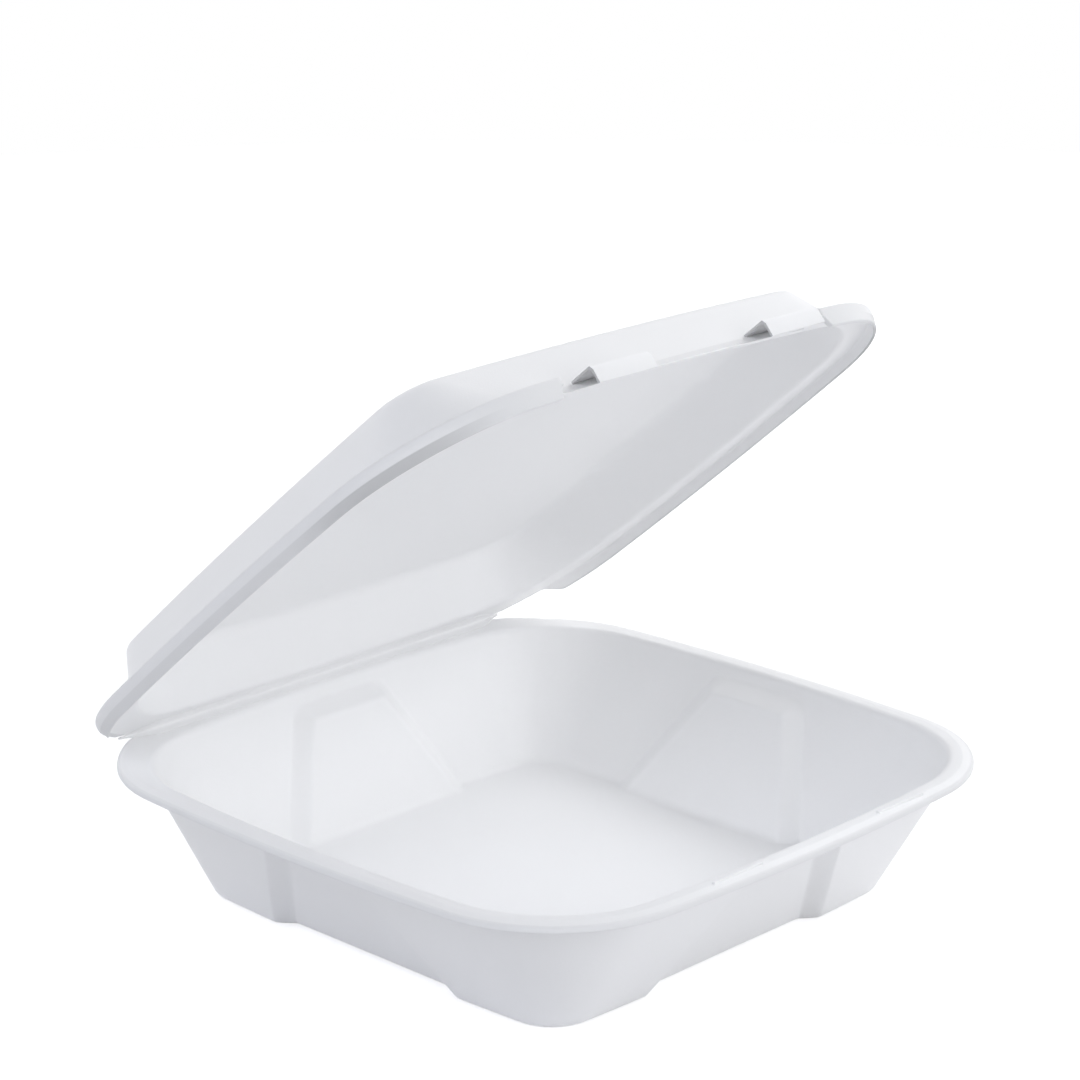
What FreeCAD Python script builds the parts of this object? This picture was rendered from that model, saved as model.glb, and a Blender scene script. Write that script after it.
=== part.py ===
import FreeCAD, Part
import math
import os

import Sketcher
from FreeCAD import Rotation, Vector

# Hinged food container of moulded foam, in millimetres, with +Z up. The origin is the centre of the
# tray's underside, -Y is the latch side and +Y the crease side. Tray and lid are one moulded sheet on
# the real object, parted here only at the crease, where the sheet flexes.

DRIVING_SIZES = {
    # rim of the tray: a flat flange with bowed sides, cut straight along the crease
    "rim_half_width": 118.0,
    "rim_front_reach": 119.0,
    "rim_corner_radius": 52.0,
    "rim_bow": 7.5,
    "rim_height": 48.3,
    "flange_width": 8.0,
    "flange_thickness": 3.0,
    "flange_edge_round": 1.2,
    # walls and floor of the tray; the wall is measured level
    "wall_thickness": 3.0,
    "floor_thickness": 2.6,
    "base_half_size": 85.0,
    "base_corner_radius": 15.0,
    "base_bow": 3.0,
    "base_edge_round": 2.4,
    "floor_edge_round": 3.0,
    # panel pressed into the middle of each tray wall
    "panel_depth": 5.2,
    "panel_bottom_half": 44.0,
    "panel_top_half": 23.0,
    "panel_height": 40.0,
    "panel_step_run": 6.5,
    # shell of the lid
    "lid_rise": 22.5,
    "lid_wall_thickness": 2.8,
    "lid_panel_thickness": 2.4,
    "lid_top_half_size": 95.5,
    "lid_top_corner_radius": 14.0,
    "lid_top_bow": 4.0,
    "lid_edge_round": 3.0,
    "lid_flange_edge_round": 1.6,
    # skirt of the lid, which drops outside the rim of the tray
    "skirt_gap": 0.8,
    "skirt_thickness": 2.2,
    "skirt_drop": 4.0,
    "skirt_rear_margin": 14.0,
    # two latches on the front: a hood on the lid takes a lug on the tray
    "latch_zone_half": 59.0,
    "thumb_half_width": 20.5,
    "hood_length": 26.0,
    "hood_height": 3.9,
    "hood_setback": 2.2,
    "hood_wall": 1.1,
    "hood_round": 0.9,
    "lug_clearance": 0.7,
    "lug_height": 1.2,
    "lug_thickness": 2.2,
    # crease
    "hinge_reach": 113.0,
    "crease_overhang": 6.0,
    "crease_half_length": 79.0,
    "crease_width": 1.6,
    "crease_thickness": 0.8,
    "crease_gap": 0.3,
    "seat_gap": 0.3,
    "lid_open_angle": 40.0,
}

# how far a cutting tool runs past the faces that it opens
TOOL_MARGIN = 2.0
# levels closer together than this are one level
SAME_LEVEL = 0.01
# share of a radius by which the middle of a quarter round lies in from the corner
ROUND_MIDDLE = 1 - math.sqrt(0.5)

doc = FreeCAD.newDocument("foam_clamshell")
sheet = doc.addObject("Spreadsheet::Sheet", "sizes")
for row, (alias, size) in enumerate(DRIVING_SIZES.items(), start=1):
    sheet.set("A%d" % row, alias)
    sheet.set("B%d" % row, str(size))
    sheet.setAlias("B%d" % row, alias)
doc.recompute()


def value_of(expression):
    result = sheet.evalExpression(expression)
    return float(getattr(result, "Value", result))


def new_body(name):
    body = doc.addObject("PartDesign::Body", name)
    body.Label = name
    return body


def level_sketch(body, name, height, centre_y="0", turn=0):
    """An empty sketch at a height, moved along Y and turned about Z inside its body."""
    sketch = body.newObject("Sketcher::SketchObject", name)
    plane = next(item for item in body.Origin.OriginFeatures if item.Role == "XY_Plane")
    sketch.AttachmentSupport = [(plane, "")]
    sketch.MapMode = "FlatFace"
    sketch.AttachmentOffset = FreeCAD.Placement(Vector(), Rotation(Vector(0, 0, 1), turn))
    sketch.setExpression("AttachmentOffset.Base.y", centre_y)
    sketch.setExpression("AttachmentOffset.Base.z", height)
    return sketch


def bind(sketch, index, name, expression):
    sketch.renameConstraint(index, name)
    sketch.setExpression("Constraints." + name, expression)


def bowed_outline(sketch, half_x, half_y, corner, bow, tag=""):
    """Four bowed sides joined by tangent corner arcs, centred on the sketch's origin."""
    a, b, r, s = (value_of(item) for item in (half_x, half_y, corner, bow))
    side_x = (b * b + s * s) / (2 * s)
    side_y = (a * a + s * s) / (2 * s)
    centre_x = Vector(a - side_x, 0, 0)
    centre_y = Vector(0, b - side_y, 0)
    # the corner's centre lies (side radius - corner radius) from both side centres
    span = (centre_y - centre_x).Length
    along = (centre_y - centre_x).normalize()
    across = Vector(along.y, -along.x, 0)
    near = side_x - r
    reach = (near ** 2 - (side_y - r) ** 2 + span ** 2) / (2 * span)
    rise = math.sqrt(near ** 2 - reach ** 2)
    options = [centre_x + along * reach + across * (sign * rise) for sign in (1, -1)]
    corner_centre = max(options, key=lambda point: point.x + point.y)
    first = math.atan2(corner_centre.y, corner_centre.x - centre_x.x)
    second = math.atan2(corner_centre.y - centre_y.y, corner_centre.x)

    def arc(centre, radius, start, end):
        circle = Part.Circle(Vector(centre), Vector(0, 0, 1), radius)
        return sketch.addGeometry(Part.ArcOfCircle(circle, start, end))

    full = math.pi
    cx, cy = corner_centre.x, corner_centre.y
    sides = []
    corners = []
    sides.append(arc(centre_x, side_x, -first, first))
    corners.append(arc((cx, cy, 0), r, first, second))
    sides.append(arc(centre_y, side_y, second, full - second))
    corners.append(arc((-cx, cy, 0), r, full - second, full - first))
    sides.append(arc(centre_x * -1, side_x, full - first, full + first))
    corners.append(arc((-cx, -cy, 0), r, full + first, full + second))
    sides.append(arc(centre_y * -1, side_y, full + second, 2 * full - second))
    corners.append(arc((cx, -cy, 0), r, 2 * full - second, 2 * full - first))

    ring = [item for pair in zip(sides, corners) for item in pair]
    for here, after in zip(ring, ring[1:] + ring[:1]):
        sketch.addConstraint(Sketcher.Constraint("Tangent", here, 2, after, 1))
    sketch.addConstraint(Sketcher.Constraint("PointOnObject", sides[0], 3, -1))
    sketch.addConstraint(Sketcher.Constraint("PointOnObject", sides[1], 3, -2))
    for near_side, far_side in ((0, 2), (1, 3)):
        pair = (sides[near_side], 3, sides[far_side], 3)
        sketch.addConstraint(Sketcher.Constraint("Symmetric", *pair, -1, 1))
        sketch.addConstraint(Sketcher.Constraint("Equal", sides[near_side], sides[far_side]))
    for other in corners[1:]:
        sketch.addConstraint(Sketcher.Constraint("Equal", corners[0], other))
    radius_x = "(({b})^2 + ({s})^2) / (2 * ({s}))".format(b=half_y, s=bow)
    radius_y = "(({a})^2 + ({s})^2) / (2 * ({s}))".format(a=half_x, s=bow)
    add = sketch.addConstraint
    bind(sketch, add(Sketcher.Constraint("Radius", corners[0], r)), "corner_radius" + tag, corner)
    bind(sketch, add(Sketcher.Constraint("Radius", sides[0], side_x)), "side_radius_x" + tag, radius_x)
    bind(sketch, add(Sketcher.Constraint("Radius", sides[1], side_y)), "side_radius_y" + tag, radius_y)
    at_x = add(Sketcher.Constraint("DistanceX", sides[0], 3, -1, 1, side_x - a))
    bind(sketch, at_x, "centre_x" + tag, "%s - (%s)" % (radius_x, half_x))
    at_y = add(Sketcher.Constraint("DistanceY", sides[1], 3, -1, 1, side_y - b))
    bind(sketch, at_y, "centre_y" + tag, "%s - (%s)" % (radius_y, half_y))
    return sketch


def four_sided(sketch, near_half, far_half, near_y, far_y, centre_x="0", tag=""):
    """A trapezium about an upright line: half widths at a near and a far level, all bound."""
    x0, a, b = value_of(centre_x), value_of(near_half), value_of(far_half)
    y0, y1 = value_of(near_y), value_of(far_y)
    corners = [Vector(x, y, 0) for x, y in ((x0 - a, y0), (x0 + a, y0), (x0 + b, y1), (x0 - b, y1))]
    lines = []
    for start, end in zip(corners, corners[1:] + corners[:1]):
        lines.append(sketch.addGeometry(Part.LineSegment(start, end)))
    add = sketch.addConstraint
    for here, after in zip(lines, lines[1:] + lines[:1]):
        add(Sketcher.Constraint("Coincident", here, 2, after, 1))
    places = (("near_left", 0, x0 - a, y0, "(%s) - (%s)" % (centre_x, near_half), near_y),
              ("near_right", 1, x0 + a, y0, "(%s) + (%s)" % (centre_x, near_half), near_y),
              ("far_right", 2, x0 + b, y1, "(%s) + (%s)" % (centre_x, far_half), far_y),
              ("far_left", 3, x0 - b, y1, "(%s) - (%s)" % (centre_x, far_half), far_y))
    for name, line, x, y, x_words, y_words in places:
        across = add(Sketcher.Constraint("DistanceX", -1, 1, lines[line], 1, x))
        bind(sketch, across, name + "_x" + tag, x_words)
        along = add(Sketcher.Constraint("DistanceY", -1, 1, lines[line], 1, y))
        bind(sketch, along, name + "_y" + tag, y_words)
    return sketch


def box_sketch(sketch, left, right, near_y, far_y, tag=""):
    half = "((%s) - (%s)) / 2" % (right, left)
    middle = "((%s) + (%s)) / 2" % (right, left)
    return four_sided(sketch, half, half, near_y, far_y, middle, tag)


def loft(body, name, kind, first, *others):
    feature = body.newObject("PartDesign::" + kind, name)
    feature.Profile = first
    feature.Sections = list(others)
    feature.Ruled = True
    doc.recompute()
    return feature


def pad(body, name, sketch, length):
    feature = body.newObject("PartDesign::Pad", name)
    feature.Profile = sketch
    feature.setExpression("Length", length)
    doc.recompute()
    return feature


def pocket(body, name, sketch, depth):
    """Cuts downwards from its sketch, and must take some material away."""
    before = body.Shape.Volume
    feature = body.newObject("PartDesign::Pocket", name)
    feature.Profile = sketch
    feature.setExpression("Length", depth)
    doc.recompute()
    if not body.Shape.Volume < before:
        raise RuntimeError(name + " cuts nothing")
    return feature


def round_edges(body, name, radius, chosen):
    """Rounds those edges of the body that the test picks out."""
    base = body.Tip
    names = ["Edge%d" % number for number, edge in enumerate(base.Shape.Edges, start=1) if chosen(edge)]
    if not names:
        raise RuntimeError(name + " finds no edge")
    feature = body.newObject("PartDesign::Fillet", name)
    feature.Base = (base, names)
    feature.setExpression("Radius", radius)
    doc.recompute()
    return feature


def is_at(level, expression):
    return abs(level - value_of(expression)) < SAME_LEVEL


# Sizes that several features share, as expressions of the sheet. The rim's outline would run past the
# crease by an overhang, and is cut off there.
RIM_TOP = "sizes.rim_height - sizes.seat_gap / 2"
FLANGE_CUT = "sizes.hinge_reach - sizes.crease_width"
CREASE_END = "sizes.hinge_reach - sizes.crease_gap / 2"
INNER_FRONT = "sizes.rim_front_reach - sizes.flange_width"
INNER_REAR = "sizes.hinge_reach - sizes.flange_width"
RIM_REAR = "sizes.hinge_reach + sizes.crease_overhang"
RIM_HALF_DEPTH = "(sizes.rim_front_reach + %s) / 2" % RIM_REAR
RIM_CENTRE = "(%s - sizes.rim_front_reach) / 2" % RIM_REAR
MOUTH_HALF_DEPTH = "((%s) + (%s)) / 2" % (INNER_FRONT, INNER_REAR)
MOUTH_CENTRE = "((%s) - (%s)) / 2" % (INNER_REAR, INNER_FRONT)
MOUTH_HALF_WIDTH = "sizes.rim_half_width - sizes.flange_width"
MOUTH_CORNER = "sizes.rim_corner_radius - sizes.flange_width"

LID_THICK = "sizes.lid_wall_thickness"
LID_FLANGE_TOP = "sizes.seat_gap / 2 + sizes.flange_thickness"
SKIRT_GROWTH = "(sizes.skirt_gap + sizes.skirt_thickness)"
LID_HALF_WIDTH = "sizes.rim_half_width + " + SKIRT_GROWTH
LID_FRONT_REACH = "sizes.rim_front_reach + " + SKIRT_GROWTH
LID_HALF_DEPTH = "(%s) + %s" % (RIM_HALF_DEPTH, SKIRT_GROWTH)
LID_CENTRE = "(%s) - sizes.hinge_reach" % RIM_CENTRE
LID_CORNER = "sizes.rim_corner_radius + " + SKIRT_GROWTH
# the pocket of a hood ends this far from the origin, just in front of the lid's wall
HOOD_REAR = "(%s) + sizes.hood_wall" % INNER_FRONT
HOODS = (("left", "-sizes.thumb_half_width"), ("right", "sizes.latch_zone_half"))


def grown(expression, by):
    return "(%s) + (%s)" % (expression, by)


def between(lower, upper, height, top):
    """The value on a straight wall at a height, from its values at the floor and at the top."""
    return "(%s) + ((%s) - (%s)) * (%s) / (%s)" % (lower, upper, lower, height, top)


def round_steps(radius):
    """A lofted wall's rounded end as pairs of a distance from the end and a level inset."""
    middle = "%s * %.4f" % (radius, ROUND_MIDDLE)
    return (("0", radius), (middle, middle), (radius, "0"))


def flange_plate(body, name, outline, centre_y, foot, edge_round):
    """A flat flange from its outline (half width, half depth, corner), rounded along its upper edge."""
    def section(tag, height, inset):
        sketch = level_sketch(body, name + tag, height, centre_y)
        sizes = [grown(size, "-(%s)" % inset) for size in outline]
        return bowed_outline(sketch, *sizes, "sizes.rim_bow")
    pad(body, name, section("_outline", foot, "0"), "sizes.flange_thickness - " + edge_round)
    top = "%s + sizes.flange_thickness" % foot
    steps = [section("_edge_%d" % step, "%s - %s" % (top, drop), inset)
             for step, (drop, inset) in enumerate(round_steps(edge_round))]
    loft(body, name + "_edge", "AdditiveLoft", *steps)


def tray_section(body, name, height, inset):
    """The tray wall's outline at a height, moved in level by an inset."""
    def at(lower, upper):
        return between(lower, upper, height, RIM_TOP)
    sketch = level_sketch(body, name, height, at("0", MOUTH_CENTRE))
    thick = "sizes.wall_thickness"
    half_x = at("sizes.base_half_size", grown(MOUTH_HALF_WIDTH, thick))
    half_y = at("sizes.base_half_size", grown(MOUTH_HALF_DEPTH, thick))
    corner = at("sizes.base_corner_radius", grown(MOUTH_CORNER, thick))
    shrink = "-(%s)" % inset
    bow = at("sizes.base_bow", "sizes.rim_bow")
    outline = [grown(size, shrink) for size in (half_x, half_y, corner)]
    return bowed_outline(sketch, *outline, bow)


def panel_section(body, name, height, turn, wall_top, near_inset, far_inset):
    """A level slice of a wall panel: sloped ends, from one level inset from the wall to another."""
    wall = between("sizes.base_half_size", wall_top, height, RIM_TOP)
    half = between("sizes.panel_bottom_half", "sizes.panel_top_half", height, "sizes.panel_height")
    ends = "sizes.panel_step_run / sizes.panel_depth"
    sketch = level_sketch(body, name, height, "0", turn)
    near_half = "(%s) - (%s) * (%s)" % (half, near_inset[0], ends)
    far_half = "(%s) - (%s) * (%s)" % (half, far_inset[0], ends)
    near_y = "(%s) - (%s)" % (wall, near_inset[1])
    far_y = "(%s) - (%s)" % (wall, far_inset[1])
    return four_sided(sketch, near_half, far_half, near_y, far_y)


def rectangle(body, name, height, left, right, near_y, far_y):
    return box_sketch(level_sketch(body, name, height), left, right, near_y, far_y)


WALLS = (
    ("rear", 0, grown(INNER_REAR, "sizes.wall_thickness")),
    ("left", 90, grown(MOUTH_HALF_WIDTH, "sizes.wall_thickness")),
    ("front", 180, grown(INNER_FRONT, "sizes.wall_thickness")),
    ("right", 270, grown(MOUTH_HALF_WIDTH, "sizes.wall_thickness")),
)


def make_tray():
    body = new_body("base_tray")
    thick = "sizes.wall_thickness"
    outer = [tray_section(body, "outer_base_%d" % step, rise, inset)
             for step, (rise, inset) in enumerate(round_steps("sizes.base_edge_round"))]
    outer.append(tray_section(body, "outer_mouth", RIM_TOP, "0"))
    loft(body, "outer_wall", "AdditiveLoft", *outer)
    flange_plate(body, "flange", ("sizes.rim_half_width", RIM_HALF_DEPTH, "sizes.rim_corner_radius"),
                 RIM_CENTRE, "%s - sizes.flange_thickness" % RIM_TOP, "sizes.flange_edge_round")
    behind = rectangle(body, "behind_crease", grown(RIM_TOP, str(TOOL_MARGIN)), "-sizes.rim_half_width",
                       "sizes.rim_half_width", FLANGE_CUT, grown(RIM_REAR, str(TOOL_MARGIN)))
    pocket(body, "crease_side", behind, "sizes.flange_thickness + %s" % (2 * TOOL_MARGIN))
    inner = [tray_section(body, "inner_floor_%d" % step,
                          grown("sizes.floor_thickness", rise), grown(thick, inset))
             for step, (rise, inset) in enumerate(round_steps("sizes.floor_edge_round"))]
    inner.append(tray_section(body, "inner_mouth", RIM_TOP, thick))
    loft(body, "cavity", "SubtractiveLoft", *inner)
    for name, turn, wall_top in WALLS:
        skin = ("-%s / 2" % thick, "%s / 2" % thick)
        proud = ("sizes.panel_depth", "sizes.panel_depth + %s" % thick)
        ledge = "sizes.panel_height + sizes.floor_thickness"
        foot = "sizes.floor_thickness / 2"
        low = panel_section(body, name + "_proud_low", foot, turn, wall_top, proud, skin)
        high = panel_section(body, name + "_proud_high", ledge, turn, wall_top, proud, skin)
        loft(body, name + "_proud", "AdditiveLoft", low, high)
    for name, turn, wall_top in WALLS:
        deep = ("sizes.panel_depth", "sizes.panel_depth")
        clear = ("-%s" % TOOL_MARGIN, "-%s" % TOOL_MARGIN)
        low = panel_section(body, name + "_recess_low", "-%s" % TOOL_MARGIN, turn, wall_top, deep, clear)
        high = panel_section(body, name + "_recess_high", "sizes.panel_height", turn, wall_top, deep, clear)
        loft(body, name + "_recess", "SubtractiveLoft", low, high)
    web = rectangle(body, "crease_outline", "%s - sizes.crease_thickness" % RIM_TOP,
                    "-sizes.crease_half_length", "sizes.crease_half_length",
                    "%s - sizes.crease_width" % FLANGE_CUT, CREASE_END)
    pad(body, "crease", web, "sizes.crease_thickness")
    for name, hood_right in HOODS:
        left = "(%s) - sizes.hood_length + sizes.lug_clearance" % hood_right
        right = "(%s) - sizes.hood_wall - sizes.lug_clearance" % hood_right
        rear = "-(%s) - sizes.lug_clearance" % HOOD_REAR
        foot = rectangle(body, name + "_lug_foot", "%s - sizes.flange_thickness / 2" % RIM_TOP,
                         left, right, "%s - sizes.lug_thickness" % rear, rear)
        pad(body, name + "_lug", foot, "sizes.flange_thickness / 2 + sizes.lug_height")
    return body


def lid_section(body, name, height, inset):
    """The lid wall's outline at a height above the crease, moved in level by an inset."""
    def at(lower, upper):
        return between(lower, upper, height, "sizes.lid_rise")
    sketch = level_sketch(body, name, height, "-sizes.hinge_reach + " + at(MOUTH_CENTRE, "0"))
    half_x = at(grown(MOUTH_HALF_WIDTH, LID_THICK), "sizes.lid_top_half_size")
    half_y = at(grown(MOUTH_HALF_DEPTH, LID_THICK), "sizes.lid_top_half_size")
    corner = at(grown(MOUTH_CORNER, LID_THICK), "sizes.lid_top_corner_radius")
    shrink = "-(%s)" % inset
    bow = at("sizes.rim_bow", "sizes.lid_top_bow")
    outline = [grown(size, shrink) for size in (half_x, half_y, corner)]
    return bowed_outline(sketch, *outline, bow)


def make_lid():
    """The lid, drawn shut in its own frame on the crease line, then turned open."""
    body = new_body("lid")
    seat = "sizes.seat_gap / 2"
    outer = [lid_section(body, "lid_outer_top_%d" % step, "sizes.lid_rise - %s" % drop, inset)
             for step, (drop, inset) in enumerate(round_steps("sizes.lid_edge_round"))]
    outer.append(lid_section(body, "lid_outer_mouth", seat, "0"))
    loft(body, "lid_outer", "AdditiveLoft", *outer)
    flange_plate(body, "lid_flange", (LID_HALF_WIDTH, LID_HALF_DEPTH, LID_CORNER), LID_CENTRE, seat,
                 "sizes.lid_flange_edge_round")
    skirt = level_sketch(body, "skirt_outline", "-sizes.skirt_drop", LID_CENTRE)
    bowed_outline(skirt, LID_HALF_WIDTH, LID_HALF_DEPTH, LID_CORNER, "sizes.rim_bow")
    inside = [grown(size, "sizes.skirt_gap")
              for size in ("sizes.rim_half_width", RIM_HALF_DEPTH, "sizes.rim_corner_radius")]
    bowed_outline(skirt, *inside, "sizes.rim_bow", "_inner")
    pad(body, "skirt", skirt, "sizes.skirt_drop + %s + sizes.flange_thickness / 3" % seat)
    wide = LID_HALF_WIDTH
    rear = "sizes.crease_overhang + %s + %s" % (SKIRT_GROWTH, TOOL_MARGIN)
    behind = rectangle(body, "behind_skirt", seat, "-(%s)" % wide, wide, "-sizes.skirt_rear_margin", rear)
    pocket(body, "skirt_end", behind, "sizes.skirt_drop + %s + %s" % (seat, TOOL_MARGIN))
    above_flange = grown(LID_FLANGE_TOP, str(TOOL_MARGIN))
    through_flange = "(%s) + sizes.skirt_drop + %s" % (LID_FLANGE_TOP, 2 * TOOL_MARGIN)
    behind = rectangle(body, "behind_lid_crease", above_flange, "-(%s)" % wide, wide, "-sizes.crease_width",
                       rear)
    pocket(body, "lid_crease_side", behind, through_flange)
    front = "-sizes.hinge_reach - (%s)" % LID_FRONT_REACH
    wall_foot = "-sizes.hinge_reach - (%s) - %s" % (INNER_FRONT, LID_THICK)
    gap = rectangle(body, "latch_zone", above_flange, "-sizes.latch_zone_half", "sizes.latch_zone_half",
                    "%s - %s" % (front, TOOL_MARGIN), wall_foot)
    pocket(body, "latch_gap", gap, through_flange)
    hood_front = "%s + sizes.hood_setback" % front
    for name, hood_right in HOODS:
        foot = rectangle(body, name + "_hood_foot", seat, "(%s) - sizes.hood_length" % hood_right,
                         hood_right, hood_front, "%s + sizes.hood_height" % wall_foot)
        pad(body, name + "_hood", foot, "sizes.hood_height - %s" % seat)
    round_edges(body, "hood_edge", "sizes.hood_round",
                lambda edge: is_at(edge.BoundBox.ZMin, "sizes.hood_height")
                and is_at(edge.BoundBox.YMax, hood_front))
    loft(body, "lid_cavity", "SubtractiveLoft",
         lid_section(body, "lid_inner_mouth", "-%s" % TOOL_MARGIN, LID_THICK),
         lid_section(body, "lid_inner_top", "sizes.lid_rise - sizes.lid_panel_thickness", LID_THICK))
    for name, hood_right in HOODS:
        left = "(%s) - sizes.hood_length - %s" % (hood_right, TOOL_MARGIN)
        right = "(%s) - sizes.hood_wall" % hood_right
        hollow = rectangle(body, name + "_hood_hollow", "sizes.hood_height - sizes.hood_wall", left, right,
                           "%s + sizes.hood_wall" % hood_front, "-sizes.hinge_reach - (%s)" % HOOD_REAR)
        pocket(body, name + "_hood_pocket", hollow, "sizes.hood_height")
    web = rectangle(body, "lid_crease_outline", seat, "-sizes.crease_half_length",
                    "sizes.crease_half_length", "-2 * sizes.crease_width", "-sizes.crease_gap / 2")
    pad(body, "lid_crease", web, "sizes.crease_thickness")
    opened = Rotation(Vector(1, 0, 0), -value_of("sizes.lid_open_angle"))
    body.Placement = FreeCAD.Placement(Vector(), opened)
    body.setExpression("Placement.Base.y", "sizes.hinge_reach")
    body.setExpression("Placement.Base.z", "sizes.rim_height")
    body.setExpression("Placement.Rotation.Angle", "-sizes.lid_open_angle")
    doc.recompute()
    return body


def check_and_export(bodies):
    faults = [item.Name for item in doc.Objects if "Invalid" in item.State or "Error" in item.State]
    faults += [body.Label for body in bodies if body.Shape.isNull() or not body.Shape.isValid()]
    if faults:
        raise RuntimeError("not built: " + ", ".join(faults))
    os.makedirs("parts", exist_ok=True)
    for body in bodies:
        body.Shape.exportStep("parts/%s.step" % body.Label)


check_and_export([make_tray(), make_lid()])
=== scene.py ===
import math

import bmesh
import bpy
import numpy as np
from mathutils import Matrix, Vector


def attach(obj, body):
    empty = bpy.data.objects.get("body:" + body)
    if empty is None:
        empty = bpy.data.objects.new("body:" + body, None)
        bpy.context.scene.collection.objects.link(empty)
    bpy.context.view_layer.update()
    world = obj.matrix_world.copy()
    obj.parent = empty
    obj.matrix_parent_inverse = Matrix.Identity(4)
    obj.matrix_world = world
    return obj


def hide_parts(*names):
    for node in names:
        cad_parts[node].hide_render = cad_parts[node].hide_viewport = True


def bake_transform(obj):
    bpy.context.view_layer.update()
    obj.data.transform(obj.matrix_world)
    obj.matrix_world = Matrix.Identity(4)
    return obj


# A foam clamshell container: the soft skins of tray and lid, the latches, the bending strip of
# the crease, one foam material, and a plain pale studio. Sizes are in millimetres, as on the
# solids: the tray stands on z = 0, the crease runs along X and the latch side faces -Y. The lid's
# own frame has its origin on the crease line and lies as if the lid were shut.

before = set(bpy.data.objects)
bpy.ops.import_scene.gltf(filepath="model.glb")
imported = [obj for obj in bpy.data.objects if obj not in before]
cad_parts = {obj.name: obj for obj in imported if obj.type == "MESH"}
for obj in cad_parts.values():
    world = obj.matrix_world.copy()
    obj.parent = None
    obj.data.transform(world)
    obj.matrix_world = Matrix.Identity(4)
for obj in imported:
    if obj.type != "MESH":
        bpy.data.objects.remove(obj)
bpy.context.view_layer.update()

MM = 0.001
HINGE_Y, HINGE_Z = 113.0, 48.3
LID_ANGLE = math.radians(40.0)

# the rim's outline, which the lid's flange and skirt follow too
RIM_HALF_X, RIM_HALF_Y, RIM_CORNER = 118.0, 119.0, 52.0
RIM_BOW = 7.5
RIM_TOP = 48.15
FLANGE = 3.0

# the mouth, where the walls of tray and lid meet their flanges
MOUTH_HALF_X, MOUTH_HALF_Y, MOUTH_CORNER = 110.0, 108.0, 44.0
MOUTH_SHIFT = 3.0

# the tray
FOOT_HALF, FOOT_CORNER, FOOT_BOW = 85.0, 15.0, 3.0
FLOOR = 2.6
WALL = 3.0
PANEL_DEPTH = 5.2
PANEL_RUN = 6.5
PANEL_CORNER = 0.9
PANEL_FOOT_HALF = 44.0
PANEL_TAPER = 21.0 / 40.0
PANEL_TOP_INSIDE, LEDGE_TOP_INSIDE = 39.8, 43.6
PANEL_TOP_OUTSIDE, LEDGE_TOP_OUTSIDE = 39.0, 41.0
FLANGE_END = 111.4
FLANGE_CROWN = 3.6
FLANGE_FALL = 0.8

# the lid, in its own frame
SEAT = 0.15
LID_TOP = 22.5
LID_TOP_HALF, LID_TOP_CORNER, LID_TOP_BOW = 95.5, 14.0, 4.0
LID_WALL = 2.8
LID_ROOF = 2.4
LID_FLANGE_TOP = SEAT + FLANGE
LID_FLANGE_END = -1.6
SKIRT_LOW = -4.0
SKIRT_STEP = 0.3
SKIRT_INSIDE, SKIRT_OUTSIDE, SKIRT_DRAWN_IN = 0.8, 2.95, 1.5
GAP_HALF = 59.0
GAP_EDGE = 0.9

# the latches: where each hood ends towards +X, and its section in the lid's frame
HOODS = (("left", -20.5), ("right", 59.0))
HOOD_LENGTH = 26.0
HOOD_FRONT, HOOD_REAR = -233.8, -223.1
HOOD_ROOF, HOOD_LOW, HOOD_SKIN = 3.9, SEAT - 2.6, 1.0
LUG_REAR, LUG_FRONT = -112.8, -115.0
LUG_FOOT, LUG_TOP, LUG_TAPER = 46.6, 48.75, 0.5
LUG_PLAY = 0.7

# the crease strip
WEB_REACH = 6.4
WEB_BEND = 1.6
WEB_HALF_THICK = 0.36
WEB_HALF_LENGTH = 91.0
WEB_END_RUN = 15.0


def spaced(start, end, count):
    return list(np.linspace(start, end, count, endpoint=False))


def smooth(t):
    """0 below 0, 1 above 1, and an S between."""
    t = min(max(t, 0.0), 1.0)
    return t * t * (3 - 2 * t)


def soft_step(t, r=0.16):
    """0 below 0, 1 above 1, straight between, rounded at both ends."""
    if t <= -r:
        return 0.0
    if t < r:
        return (t + r) ** 2 / (4 * r)
    if t <= 1 - r:
        return t
    if t < 1 + r:
        return 1 - (1 + r - t) ** 2 / (4 * r)
    return 1.0


# Outlines

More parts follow.
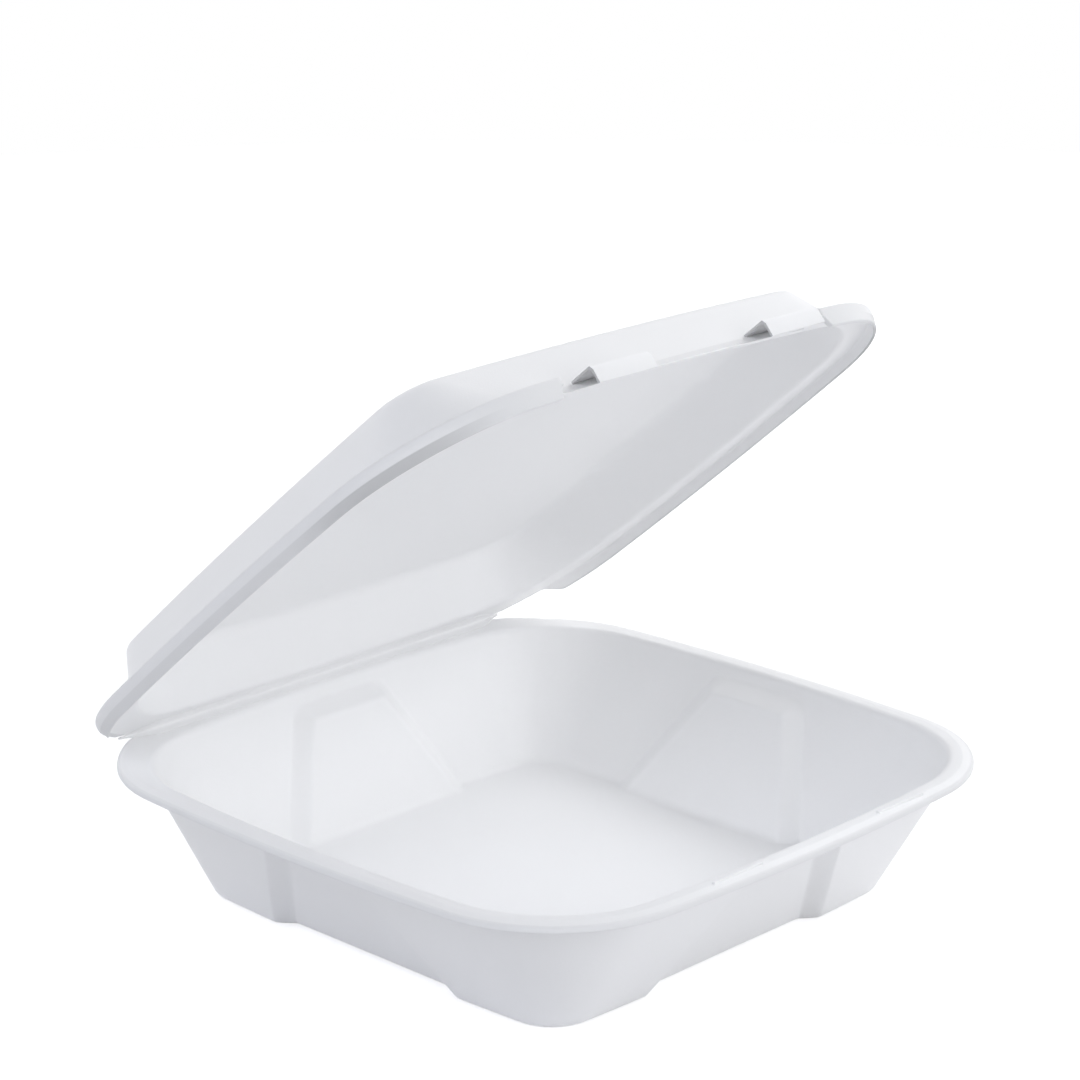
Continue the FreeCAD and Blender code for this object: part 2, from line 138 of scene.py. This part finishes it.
class Outline:
    """Four bowed sides and four tangent corner arcs, as the solids have them."""

    def __init__(self, half_x, half_y, corner, bow, centre_y=0.0):
        self.half_x, self.half_y, self.corner = half_x, half_y, corner
        self.centre_y = centre_y
        self.radius_x = (half_y ** 2 + bow ** 2) / (2 * bow)
        self.radius_y = (half_x ** 2 + bow ** 2) / (2 * bow)
        # the corner's centre lies where both sides' arcs, drawn in by its radius, cross
        centre_x = np.array([half_x - self.radius_x, 0.0])
        centre_y_side = np.array([0.0, half_y - self.radius_y])
        span = np.linalg.norm(centre_y_side - centre_x)
        along = (centre_y_side - centre_x) / span
        across = np.array([along[1], -along[0]])
        near = self.radius_x - corner
        reach = (near ** 2 - (self.radius_y - corner) ** 2 + span ** 2) / (2 * span)
        rise = math.sqrt(near ** 2 - reach ** 2)
        crossings = [centre_x + along * reach + across * (sign * rise) for sign in (1, -1)]
        self.c = max(crossings, key=lambda p: p[0] + p[1])
        self.first = math.atan2(self.c[1], self.c[0] - centre_x[0])
        self.second = math.atan2(self.c[1] - centre_y_side[1], self.c[0])

    def side_end(self, side):
        """How far a side's arc reaches from its middle."""
        if side % 2 == 0:
            return self.radius_x * math.sin(self.first)
        return self.radius_y * math.cos(self.second)

    def side_point(self, side, along, inset=0.0, soft=0.0):
        """A point on a side, held back to a flat face at the inset, with a soft corner between."""
        if side % 2 == 0:
            half, radius = self.half_x, self.radius_x
        else:
            half, radius = self.half_y, self.radius_y
        bowed = half - radius + math.sqrt(radius ** 2 - along ** 2)
        flat = half - inset
        if inset <= 0.0:
            out = bowed
        else:
            k = min(soft, inset)
            h = min(max(0.5 + 0.5 * (flat - bowed) / k, 0.0), 1.0)
            out = flat * (1 - h) + bowed * h - k * h * (1 - h)
        turn = side * math.pi / 2
        x = out * math.cos(turn) - along * math.sin(turn)
        y = out * math.sin(turn) + along * math.cos(turn)
        return x, y + self.centre_y

    def corner_point(self, corner, f):
        """A point on the corner arc that follows a side, from 0 to 1 along it."""
        x, y = self.c
        swing = (self.second - self.first) * f
        angle, cx, cy = (
            (self.first + swing, x, y),
            (math.pi - self.second + swing, -x, y),
            (math.pi + self.first + swing, -x, -y),
            (2 * math.pi - self.second + swing, x, -y),
        )[corner]
        return (cx + self.corner * math.cos(angle),
                cy + self.corner * math.sin(angle) + self.centre_y)


def rim_outline(grow=0.0, centre_y=0.0):
    return Outline(RIM_HALF_X + grow, RIM_HALF_Y + grow, RIM_CORNER + grow, RIM_BOW, centre_y)


def tray_outline(height, inset):
    """The tray's wall at a height, drawn in by the inset."""
    f = height / RIM_TOP
    half_x = FOOT_HALF + (MOUTH_HALF_X + WALL - FOOT_HALF) * f - inset
    half_y = FOOT_HALF + (MOUTH_HALF_Y + WALL - FOOT_HALF) * f - inset
    corner = FOOT_CORNER + (MOUTH_CORNER + WALL - FOOT_CORNER) * f - inset
    bow = FOOT_BOW + (RIM_BOW - FOOT_BOW) * f
    return Outline(half_x, half_y, corner, bow, -MOUTH_SHIFT * f)


def lid_outline(height, inset):
    """The lid's wall at a height, drawn in by the inset."""
    f = height / LID_TOP
    half_x = (MOUTH_HALF_X + LID_WALL) * (1 - f) + LID_TOP_HALF * f - inset
    half_y = (MOUTH_HALF_Y + LID_WALL) * (1 - f) + LID_TOP_HALF * f - inset
    corner = (MOUTH_CORNER + LID_WALL) * (1 - f) + LID_TOP_CORNER * f - inset
    bow = RIM_BOW * (1 - f) + LID_TOP_BOW * f
    return Outline(half_x, half_y, corner, bow, -HINGE_Y - MOUTH_SHIFT * (1 - f))


# Skins through rings

def rounded_profile(keys, rounds, spans, fine=7):
    """Turns key rings into a dense stack of rings, with a rounded corner at each key.

    rounds has the size of each key's corner, and spans the number of steps between the keys. The
    marks say which ring belongs to which key: 3 is the corner at key 3, and 2.5 lies before it.
    """
    keys = [np.asarray(k, float) for k in keys]

    def unit(v):
        length = np.linalg.norm(v, axis=1, keepdims=True)
        return v / np.maximum(length, 1e-9), length

    before, after, corners = [keys[0]], [keys[0]], [None]
    for k in range(1, len(keys) - 1):
        back, back_len = unit(keys[k - 1] - keys[k])
        ahead, ahead_len = unit(keys[k + 1] - keys[k])
        t = np.minimum(rounds[k], 0.46 * np.minimum(back_len, ahead_len))
        p0, p2 = keys[k] + back * t, keys[k] + ahead * t
        before.append(p0)
        after.append(p2)
        corners.append([p0 * (1 - s) ** 2 + keys[k] * (2 * s * (1 - s)) + p2 * s ** 2
                        for s in np.linspace(0, 1, fine)])
    before.append(keys[-1])
    after.append(keys[-1])
    corners.append(None)

    rings, marks = [keys[0]], [0]
    for k in range(1, len(keys)):
        start, end = after[k - 1], before[k]
        length = float(np.median(np.linalg.norm(end - start, axis=1)))
        # a ring close to each corner keeps the straight stretch's normals even
        hold = min(0.35 / max(length, 1e-6), 0.2)
        steps = [hold + (1 - 2 * hold) * j / spans[k - 1] for j in range(1, spans[k - 1])]
        for f in [hold] + steps + [1 - hold]:
            rings.append(start * (1 - f) + end * f)
            marks.append(k - 0.5)
        for point in corners[k] or ():
            rings.append(point)
            marks.append(k)
    rings.append(keys[-1])
    marks.append(len(keys) - 1)
    return np.array(rings), np.array(marks)


def link(name, mesh):
    obj = bpy.data.objects.new(name, mesh)
    bpy.context.scene.collection.objects.link(obj)
    return obj


def skin_mesh(name, rings, values, transform=None):
    """A closed skin through the rings, capped at both ends, with a value for each ring point."""
    count, across = rings.shape[:2]
    faces = []
    for i in range(count - 1):
        for j in range(across):
            n = (j + 1) % across
            faces.append((i * across + j, i * across + n,
                          (i + 1) * across + n, (i + 1) * across + j))
    faces.append(tuple(range(across)))
    faces.append(tuple(reversed(range((count - 1) * across, count * across))))
    mesh = bpy.data.meshes.new(name)
    mesh.from_pydata([tuple(p) for p in rings.reshape(-1, 3) * MM], [], faces)
    for key, value in values.items():
        every = np.broadcast_to(value, (count, across)).astype(np.float32).ravel()
        mesh.attributes.new(key, "FLOAT", "POINT").data.foreach_set("value", every)
    bm = bmesh.new()
    bm.from_mesh(mesh)
    bmesh.ops.dissolve_degenerate(bm, edges=bm.edges, dist=1e-6)
    bmesh.ops.recalc_face_normals(bm, faces=bm.faces)
    bm.to_mesh(mesh)
    bm.free()
    mesh.shade_smooth()
    if transform is not None:
        mesh.transform(transform)
    return link(name, mesh)


def ring_points(outline, height, zones, corner_steps, knots_for, side_point):
    """One ring at a height: each side in zones between its knots, then the corner after it."""
    points = []
    for side in range(4):
        knots = knots_for(outline.side_end(side))
        for zone, steps in enumerate(zones):
            for f in spaced(0, 1, steps):
                along = knots[zone] + (knots[zone + 1] - knots[zone]) * f
                points.append((*side_point(side, along), height))
        for f in spaced(0, 1, corner_steps):
            points.append((*outline.corner_point(side, f), height))
    return np.array(points)


def toward(centre_y, ring, share):
    """The ring drawn in towards its centre."""
    centre = np.array([0.0, centre_y, ring[0, 2]])
    return centre + (ring - centre) * share


# The tray

TRAY_ZONES = (12, 20, 22, 20, 12)
TRAY_CORNER_STEPS = 30


def tray_ring(outline, height, painted_shade_factor=0.0):
    """One ring of the tray: the outline, pressed in by the panels where there is a depth."""
    half = PANEL_FOOT_HALF - PANEL_TAPER * height

    def knots(end):
        # the middle zones lie over the panel's sloping sides
        outer, inner = half + 1.6, half - 8.2
        return -end, -outer, -inner, inner, outer, end

    def point(side, along):
        inset = painted_shade_factor * soft_step((half - abs(along)) / PANEL_RUN)
        return outline.side_point(side, along, inset, PANEL_CORNER)

    return ring_points(outline, height, TRAY_ZONES, TRAY_CORNER_STEPS, knots, point)


def make_tray():
    def wall(height, inset, painted_shade_factor=0.0):
        return tray_ring(tray_outline(height, inset), height, painted_shade_factor)

    # the flange ends before the crease, and elsewhere falls a little from its crown outwards
    under = RIM_TOP - FLANGE
    edge = tray_ring(rim_outline(), RIM_TOP)
    edge[:, 1] = np.minimum(edge[:, 1], FLANGE_END)
    edge_low = edge.copy()
    edge_low[:, 2] = under
    crown = tray_ring(rim_outline(-FLANGE_CROWN), RIM_TOP)
    crown[:, 1] = np.minimum(crown[:, 1], FLANGE_END - 0.4)
    edge[:, 2] -= FLANGE_FALL * np.clip((FLANGE_END - 2.0 - edge[:, 1]) / 8.0, 0.0, 1.0)

    floor_ring = wall(FLOOR, WALL, PANEL_DEPTH)
    base_ring = wall(0.0, 0.0, PANEL_DEPTH)
    keys_rounds_steps = (
        (toward(0.0, floor_ring, 0.1), 0, 8),
        (floor_ring, 2.6, 12),
        (wall(PANEL_TOP_INSIDE, WALL, PANEL_DEPTH), 1.3, 1),
        (wall(LEDGE_TOP_INSIDE, WALL), 1.1, 2),
        (wall(RIM_TOP, WALL), 1.8, 2),
        (crown, 0.35, 2),
        (edge, 1.1, 1),
        (edge_low, 1.1, 2),
        (wall(under, 0.0), 1.0, 2),
        (wall(LEDGE_TOP_OUTSIDE, 0.0), 1.0, 1),
        (wall(PANEL_TOP_OUTSIDE, 0.0, PANEL_DEPTH), 1.0, 12),
        (base_ring, 2.4, 8),
        (toward(0.0, base_ring, 0.1), 0, 0),
    )
    keys, rounds, steps = zip(*keys_rounds_steps)
    rings, marks = rounded_profile(keys, rounds, steps)
    # the flange's outer edge: cut foam, rougher and greyer, the grey partly painted shade under
    # the edge
    edge_and_shade_rows = (marks >= 6) & (marks <= 7)
    return skin_mesh("tray_shell", rings, {"cut_edge_and_shade": edge_and_shade_rows[:, None]})


# The lid

LID_ZONES = (6, 9, 40, 9, 6)
LID_CORNER_STEPS = 44


def lid_ring(outline, height):
    def knots(end):
        # the narrow zones lie over the ends of the thumb gap
        outer, inner = GAP_HALF + GAP_EDGE, GAP_HALF - GAP_EDGE
        return -end, -outer, -inner, inner, outer, end

    return ring_points(outline, height, LID_ZONES, LID_CORNER_STEPS, knots, outline.side_point)


def lid_to_row():
    """Carries the lid from its own frame to its rest place, in metres."""
    place = Matrix.Translation(Vector((0, HINGE_Y * MM, HINGE_Z * MM)))
    return place @ Matrix.Rotation(-LID_ANGLE, 4, "X")


def lid_rim():
    """The rings of flange and skirt, from the seat down inside the skirt and up outside it."""
    def skirt(grow, height):
        ring = lid_ring(rim_outline(grow, -HINGE_Y), height)
        ring[:, 1] = np.minimum(ring[:, 1], LID_FLANGE_END)
        return ring

    rim = [skirt(SKIRT_INSIDE, SEAT), skirt(SKIRT_INSIDE, SKIRT_LOW),
           skirt(SKIRT_OUTSIDE, SKIRT_LOW), skirt(SKIRT_OUTSIDE, SKIRT_STEP),
           skirt(SKIRT_OUTSIDE, LID_FLANGE_TOP)]
    # along the sides the skirt's foot is drawn in, which runs out round the front corners
    at_side = np.array([smooth((abs(x) - 80.0) / 28.0) for x in rim[2][:, 0]])
    drawn_in = skirt(SKIRT_DRAWN_IN, SKIRT_LOW)
    rim[2] = rim[2] * (1 - at_side[:, None]) + drawn_in * at_side[:, None]
    # the skirt runs out before the crease
    for ring in rim[1:3]:
        for point in ring:
            point[2] += (SEAT - SKIRT_LOW) * smooth((point[1] + 21.0) / 8.0)
    # it also ends before the thumb gap, where the flange is cut back to the wall
    levels = [SEAT, SEAT + 0.6, SEAT + 1.2, SEAT + 1.8, SEAT + 2.4]
    walls = [lid_ring(lid_outline(level, 0.0), level) for level in levels]
    for ring in rim[1:3]:
        for point, wall in zip(ring, walls[0]):
            if point[1] < -HINGE_Y:
                out = smooth((GAP_HALF + 3.6 - abs(wall[0])) / 2.4)
                point[2] += (SEAT + 0.2 - point[2]) * out
    for ring, wall in zip(rim, walls):
        for j, point in enumerate(ring):
            if point[1] < -HINGE_Y and abs(wall[j][0]) < GAP_HALF + 1.0:
                cut = smooth((GAP_HALF + GAP_EDGE - abs(wall[j][0])) / (2 * GAP_EDGE))
                ring[j] = point * (1 - cut) + wall[j] * cut
    return rim, at_side


def make_lid():
    def wall(height, inset):
        return lid_ring(lid_outline(height, inset), height)

    roof_inside = wall(LID_TOP - LID_ROOF, LID_WALL)
    roof_outside = wall(LID_TOP, 0.0)
    rim, at_side = lid_rim()
    keys_rounds_steps = (
        (toward(-HINGE_Y, roof_inside, 0.1), 0, 8),
        (roof_inside, 3.4, 8),
        (wall(SEAT, LID_WALL), 1.6, 3),
        (rim[0], 1.0, 2),
        (rim[1], 0.6, 1),
        (rim[2], 0.6, 2),
        (rim[3], 0.9, 3),
        (rim[4], 2.2, 3),
        (wall(LID_FLANGE_TOP, 0.0), 1.4, 8),
        (roof_outside, 3.2, 8),
        (toward(-HINGE_Y, roof_outside, 0.1), 0, 0),
    )
    keys, rounds, steps = zip(*keys_rounds_steps)
    rings, marks = rounded_profile(keys, rounds, steps)
    # the skirt, from its foot up to the flange's edge: rougher and greyer, the grey partly the cut
    # foam's tone and partly painted shade
    edge_and_shade_rows = (marks >= 4) & (marks <= 7)
    # the skirt's foot gets painted shade along the sides, most of all towards the front corners
    drawn_in = (marks >= 4) & (marks <= 5.5)
    front = np.array([smooth((-y - 150.0) / 50.0) for y in rim[2][:, 1]])
    shade = drawn_in[:, None] * (at_side * (0.25 + 0.5 * front))[None, :]
    return skin_mesh("lid_shell", rings, {"cut_edge_and_shade": edge_and_shade_rows[:, None], "shade": shade}, lid_to_row())


# The latches

def prism(section, left, right):
    """Corners and faces of a solid that runs along X: its ends come last."""
    count = len(section)
    points = [(left, *p) for p in section] + [(right, *p) for p in section]
    faces = [(i, (i + 1) % count, count + (i + 1) % count, count + i) for i in range(count)]
    return points, faces + [tuple(range(count)), tuple(reversed(range(count, 2 * count)))]


def rounded_solid(name, points, faces, radius, transform=None, with_painted_shade=()):
    """A small solid with softened edges, with painted shade on the faces that lie in a hollow."""
    mesh = bpy.data.meshes.new(name)
    bm = bmesh.new()
    verts = [bm.verts.new(Vector(p) * MM) for p in points]
    shade = bm.loops.layers.float.new("shade")
    for number, face in enumerate(faces):
        made = bm.faces.new([verts[i] for i in face])
        for loop in made.loops:
            loop[shade] = 1.0 if number in with_painted_shade else 0.0
    bmesh.ops.recalc_face_normals(bm, faces=bm.faces)
    bm.to_mesh(mesh)
    bm.free()
    mesh.attributes.new("cut_edge_and_shade", "FLOAT", "POINT")
    mesh.shade_smooth()
    if transform is not None:
        mesh.transform(transform)
    obj = link(name, mesh)
    bevel = obj.modifiers.new("soft_edges", "BEVEL")
    bevel.width = radius * MM
    bevel.segments = 4
    bevel.limit_method = "ANGLE"
    bevel.angle_limit = math.radians(40)
    obj.modifiers.new("even_normals", "WEIGHTED_NORMAL").keep_sharp = False
    return obj


def make_hood(name, right):
    """A hood on the lid's front, hollow from below and open at its left: a channel and its end."""
    front, rear, roof, skin = HOOD_FRONT, HOOD_REAR, HOOD_ROOF, HOOD_SKIN
    channel = [(rear, roof), (front + 0.9, roof), (front, roof - 1.6), (front, HOOD_LOW),
               (front + skin, HOOD_LOW), (front + skin, roof - 2.0), (front + 2.0, roof - skin),
               (rear, roof - skin)]
    points, faces = prism(channel, right - HOOD_LENGTH, right)
    # the channel's inner faces and open end get painted shade, standing in for the shadow inside
    # the hood
    hollow = (4, 5, 6, 8)
    end = [(front + 1.1, roof - 0.2), (front + 0.3, roof - 1.8), (front + 0.3, SEAT),
           (rear - 1.8, SEAT), (rear, roof - 0.2)]
    end_points, end_faces = prism(end, right - skin, right - 0.05)
    # the end piece's face inside the hood gets painted shade too
    end_hollow = (5,)
    place = lid_to_row()
    return [rounded_solid(name, points, faces, 0.32, place, hollow),
            rounded_solid(name + "_end", end_points, end_faces, 0.25, place, end_hollow)]


def make_lug(name, hood_right):
    """A low tapered lug on the front of the tray's rim, which the hood takes."""
    left, right = hood_right - HOOD_LENGTH + LUG_PLAY, hood_right - 1.1 - LUG_PLAY
    section = [(LUG_FRONT, LUG_FOOT), (LUG_REAR, LUG_FOOT),
               (LUG_REAR - LUG_TAPER, LUG_TOP), (LUG_FRONT + LUG_TAPER, LUG_TOP)]
    points, faces = prism(section, left, right)
    points = [(x + (LUG_TAPER if x == left else -LUG_TAPER) * (z == LUG_TOP), y, z)
              for x, y, z in points]
    return rounded_solid(name, points, faces, 0.3)


# The crease

def curve_point(controls, f):
    """The point at f on the smooth curve that the control points pull."""
    left = [np.array(p) for p in controls]
    while len(left) > 1:
        left = [a * (1 - f) + b * f for a, b in zip(left, left[1:])]
    return left[0]


def make_crease():
    """The thin strip that bends, from the tray's flange round the crease line to the lid's."""
    def on_lid(y, z):
        c, s = math.cos(LID_ANGLE), math.sin(LID_ANGLE)
        return HINGE_Y + y * c + z * s, HINGE_Z - y * s + z * c

    start = (HINGE_Y - WEB_REACH, RIM_TOP - 0.2)
    end = on_lid(-WEB_REACH, SEAT + 0.2)
    controls = [start, (HINGE_Y - WEB_BEND, RIM_TOP), on_lid(-WEB_BEND, SEAT), end]
    path = np.array([curve_point(controls, f) for f in np.linspace(0, 1, 21)])
    slope = np.gradient(path, axis=0)
    normals = np.stack([slope[:, 1], -slope[:, 0]], axis=1)
    normals /= np.linalg.norm(normals, axis=1, keepdims=True)
    loop = np.concatenate([path + normals * WEB_HALF_THICK,
                           (path - normals * WEB_HALF_THICK)[::-1]])
    centre = np.array((HINGE_Y, HINGE_Z))
    rings = []
    for x in np.linspace(-WEB_HALF_LENGTH, WEB_HALF_LENGTH, 92):
        # the web narrows towards the crease line at its ends
        run = (abs(x) - (WEB_HALF_LENGTH - WEB_END_RUN)) / WEB_END_RUN
        narrowed = centre + (loop - centre) * (1.0 - 0.85 * smooth(run))
        rings.append(np.column_stack([np.full(len(loop), x), narrowed]))
    obj = skin_mesh("crease_strip", np.array(rings), {"cut_edge_and_shade": 0.0})
    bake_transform(obj)
    return obj


# The foam

FOAM_DARK, FOAM_LIGHT = (0.960, 0.963, 0.968, 1), (0.984, 0.985, 0.989, 1)
# the grey of the cut edges and skirts: partly the cut foam's own tone, partly painted shade
CUT_EDGE_AND_SHADE = (0.88, 0.885, 0.89, 1)
# how much the painted shade darkens the colour where the shade attribute is full
PAINTED_SHADE_STRENGTH = 0.42


def foam_material():
    """White foamed plastic: a faint mottle, duller cut edges whose grey is partly painted shade,
    painted shade on the lid skirt's foot and in the hoods' hollows, and the mould's slow waves.
    """
    material = bpy.data.materials.new("white_foam")
    material.use_nodes = True
    nodes, links = material.node_tree.nodes, material.node_tree.links
    nodes.clear()

    def node(kind, **values):
        made = nodes.new(kind)
        for key, value in values.items():
            if key in made.inputs:
                made.inputs[key].default_value = value
            else:
                setattr(made, key, value)
        return made

    def multiply_add(source, factor, offset, use_clamp=False):
        made = node("ShaderNodeMath", operation="MULTIPLY_ADD", use_clamp=use_clamp)
        links.new(source, made.inputs[0])
        made.inputs[1].default_value = factor
        made.inputs[2].default_value = offset
        return made

    out = node("ShaderNodeOutputMaterial")
    shader = node("ShaderNodeBsdfPrincipled")
    shader.inputs["IOR"].default_value = 1.42
    shader.inputs["Specular IOR Level"].default_value = 0.38
    coords = node("ShaderNodeTexCoord")
    cut_edge_and_shade = node("ShaderNodeAttribute", attribute_name="cut_edge_and_shade")
    shade = node("ShaderNodeAttribute", attribute_name="shade")

    # closed cells pressed flat by the mould, a fine grain over them, and slow waves in the sheet
    cells = node("ShaderNodeTexVoronoi", Scale=1500.0)
    grain = node("ShaderNodeTexNoise", Scale=2600.0, Detail=1.0, Roughness=0.6)
    waves = node("ShaderNodeTexNoise", Scale=45.0, Detail=1.0, Roughness=0.5)
    for texture in (cells, grain, waves):
        links.new(coords.outputs["Object"], texture.inputs["Vector"])

    # colour: mottled foam, greyer where it is cut (partly the cut foam's own tone, partly painted
    # shade), and painted shade on the lid skirt's foot and in the hoods' hollows
    tint = node("ShaderNodeMix", data_type="RGBA")
    tint.inputs["A"].default_value = FOAM_DARK
    tint.inputs["B"].default_value = FOAM_LIGHT
    mottle = multiply_add(grain.outputs["Fac"], 0.55, 0.2)
    links.new(mottle.outputs[0], tint.inputs["Factor"])
    cut = node("ShaderNodeMix", data_type="RGBA")
    cut.inputs["B"].default_value = CUT_EDGE_AND_SHADE
    cut_and_shade_share = multiply_add(cut_edge_and_shade.outputs["Fac"], 0.6, 0.0)
    links.new(cut_and_shade_share.outputs[0], cut.inputs["Factor"])
    links.new(tint.outputs["Result"], cut.inputs["A"])
    # painted shade: the colour darkened where the shade attribute marks the lid skirt's foot and
    # the hoods' hollows
    painted_shade_factor = multiply_add(shade.outputs["Fac"], -PAINTED_SHADE_STRENGTH, 1.0)
    with_painted_shade = node("ShaderNodeVectorMath", operation="SCALE")
    links.new(cut.outputs["Result"], with_painted_shade.inputs[0])
    links.new(painted_shade_factor.outputs[0], with_painted_shade.inputs["Scale"])
    links.new(with_painted_shade.outputs[0], shader.inputs["Base Color"])

    # gloss: a soft sheen that drifts with the waves, and none on the cut edges
    rough = node("ShaderNodeMapRange")
    rough.inputs["To Min"].default_value = 0.40
    rough.inputs["To Max"].default_value = 0.52
    links.new(waves.outputs["Fac"], rough.inputs["Value"])
    rougher = multiply_add(cut_edge_and_shade.outputs["Fac"], 0.3, 0.0, use_clamp=True)
    links.new(rough.outputs["Result"], rougher.inputs[2])
    links.new(rougher.outputs[0], shader.inputs["Roughness"])

    # relief: waves, cells and grain, one upon the other
    normal = None
    for height, strength, distance in ((waves.outputs["Fac"], 0.35, 0.0006),
                                       (cells.outputs["Distance"], 0.22, 0.00012),
                                       (grain.outputs["Fac"], 0.18, 0.00006)):
        bump = node("ShaderNodeBump", Strength=strength, Distance=distance)
        links.new(height, bump.inputs["Height"])
        if normal is not None:
            links.new(normal, bump.inputs["Normal"])
        normal = bump.outputs["Normal"]
    links.new(normal, shader.inputs["Normal"])
    links.new(shader.outputs[0], out.inputs["Surface"])
    return material


def build_container():
    foam = foam_material()
    tray = make_tray()
    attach(tray, "base")
    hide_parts("base_tray")
    lid = make_lid()
    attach(lid, "lid")
    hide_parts("lid")
    latches = []
    for name, right in HOODS:
        for hood_part in make_hood(name + "_hood", right):
            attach(hood_part, "lid")
            latches.append(hood_part)
        lug = make_lug(name + "_lug", right)
        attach(lug, "base")
        latches.append(lug)
    crease = make_crease()
    for piece in [tray, lid, crease] + latches:
        piece.data.materials.append(foam)


# The stage

FLOOR_RADIUS = 1.35
FLOOR_COLOUR = (0.86, 0.86, 0.87, 1)
FLOOR_LIFT = 0.5
AMBIENT_COLOUR, AMBIENT_LEVEL = (0.97, 0.985, 1.0, 1), 0.02


def seen_by_eye(nodes, links):
    """1 for camera, mirror and see-through rays, and 0 for the rays that carry light."""
    path = nodes.new("ShaderNodeLightPath")
    seen = path.outputs["Is Camera Ray"]
    for kind in ("Is Glossy Ray", "Is Transmission Ray"):
        either = nodes.new("ShaderNodeMath")
        either.operation = "MAXIMUM"
        links.new(seen, either.inputs[0])
        links.new(path.outputs[kind], either.inputs[1])
        seen = either.outputs[0]
    return seen


def make_floor():
    """A round pale floor that keeps the shadow and looks as white as the backdrop."""
    mesh = bpy.data.meshes.new("floor")
    rim = [(FLOOR_RADIUS * math.cos(turn), FLOOR_RADIUS * math.sin(turn), 0)
           for turn in spaced(0, 2 * math.pi, 96)]
    mesh.from_pydata(rim, [], [tuple(range(96))])
    floor = link("floor", mesh)
    material = bpy.data.materials.new("studio_floor")
    material.use_nodes = True
    nodes, links = material.node_tree.nodes, material.node_tree.links
    nodes.clear()
    out = nodes.new("ShaderNodeOutputMaterial")
    diffuse = nodes.new("ShaderNodeBsdfDiffuse")
    diffuse.inputs["Color"].default_value = FLOOR_COLOUR
    lift = nodes.new("ShaderNodeEmission")
    level = nodes.new("ShaderNodeMath")
    level.operation = "MULTIPLY"
    links.new(seen_by_eye(nodes, links), level.inputs[0])
    level.inputs[1].default_value = FLOOR_LIFT
    links.new(level.outputs[0], lift.inputs["Strength"])
    both = nodes.new("ShaderNodeAddShader")
    links.new(diffuse.outputs[0], both.inputs[0])
    links.new(lift.outputs[0], both.inputs[1])
    links.new(both.outputs[0], out.inputs["Surface"])
    mesh.materials.append(material)


def make_world():
    """A white backdrop for the eye, and next to no light from it on the object."""
    world = bpy.data.worlds.new("studio")
    bpy.context.scene.world = world
    world.use_nodes = True
    nodes, links = world.node_tree.nodes, world.node_tree.links
    nodes.clear()
    out = nodes.new("ShaderNodeOutputWorld")
    ambient = nodes.new("ShaderNodeBackground")
    ambient.inputs["Color"].default_value = AMBIENT_COLOUR
    ambient.inputs["Strength"].default_value = AMBIENT_LEVEL
    backdrop = nodes.new("ShaderNodeBackground")
    backdrop.inputs["Color"].default_value = (1, 1, 1, 1)
    backdrop.inputs["Strength"].default_value = 1.0
    mix = nodes.new("ShaderNodeMixShader")
    links.new(seen_by_eye(nodes, links), mix.inputs[0])
    links.new(ambient.outputs[0], mix.inputs[1])
    links.new(backdrop.outputs[0], mix.inputs[2])
    links.new(mix.outputs[0], out.inputs["Surface"])


# each lamp: where it stands as seen from the object, its level and its colour
LAMP_DISTANCE, LAMP_SIZE = 2.0, 1.4
NEUTRAL, COOL, COOLER = (1, 1, 1), (0.99, 0.995, 1.01), (0.95, 0.97, 1.04)
LAMPS = (
    ("front_box", (0.10, -0.90, 0.42), 0.40, COOL),
    ("right_box", (0.82, 0.0, 0.57), 0.60, COOL),
    ("left_box", (-0.82, 0.0, 0.57), 0.44, COOLER),
    ("rear_box", (0.0, 0.82, 0.57), 0.30, NEUTRAL),
    ("low_right_box", (0.55, -0.80, 0.20), 0.07, COOLER),
    ("low_front_box", (-0.70, -0.70, 0.20), 0.03, COOLER),
)


def make_lamp(name, direction, level, colour):
    """A soft square lamp that adds about that level to a white surface facing it."""
    light = bpy.data.lights.new(name, "AREA")
    light.color = colour
    light.shape = "SQUARE"
    light.size = LAMP_SIZE
    light.energy = level * math.pi * math.pi * LAMP_DISTANCE ** 2
    lamp = link(name, light)
    aim = Vector((0, 0, 0.06))
    lamp.location = aim + Vector(direction).normalized() * LAMP_DISTANCE
    lamp.rotation_euler = (aim - lamp.location).to_track_quat("-Z", "Y").to_euler()


# The camera, fitted to the photograph: left of the latch side, a little above the tray

IMAGE_WIDTH = 1080.0
FOCAL_LENGTH = 3420.0
AZIMUTH = math.radians(-45.98)
ELEVATION = math.radians(17.34)
ROLL = math.radians(-0.13)
DISTANCE, SHIFT_RIGHT, SHIFT_UP = 1.1407, -0.00173, 0.06911
AIM_HEIGHT = 0.05
SENSOR_WIDTH = 36.0


def make_camera():
    """The camera, with its focal length given in pixels of the photograph."""
    level = math.cos(ELEVATION)
    back = Vector((math.sin(AZIMUTH) * level, -math.cos(AZIMUTH) * level, math.sin(ELEVATION)))
    right = Vector((math.cos(AZIMUTH), math.sin(AZIMUTH), 0))
    up = back.cross(right)
    data = bpy.data.cameras.new("camera")
    data.sensor_width = SENSOR_WIDTH
    data.lens = FOCAL_LENGTH / IMAGE_WIDTH * SENSOR_WIDTH
    data.clip_start = 0.05
    data.clip_end = 60.0
    camera = link("camera", data)
    place = back * DISTANCE + right * SHIFT_RIGHT + up * SHIFT_UP + Vector((0, 0, AIM_HEIGHT))
    turn = Matrix((right, up, back)).transposed().to_4x4() @ Matrix.Rotation(ROLL, 4, "Z")
    camera.matrix_world = Matrix.Translation(place) @ turn
    bpy.context.scene.camera = camera


build_container()
make_floor()
make_world()
for lamp_values in LAMPS:
    make_lamp(*lamp_values)
make_camera()
bpy.context.scene.view_settings.view_transform = "Standard"
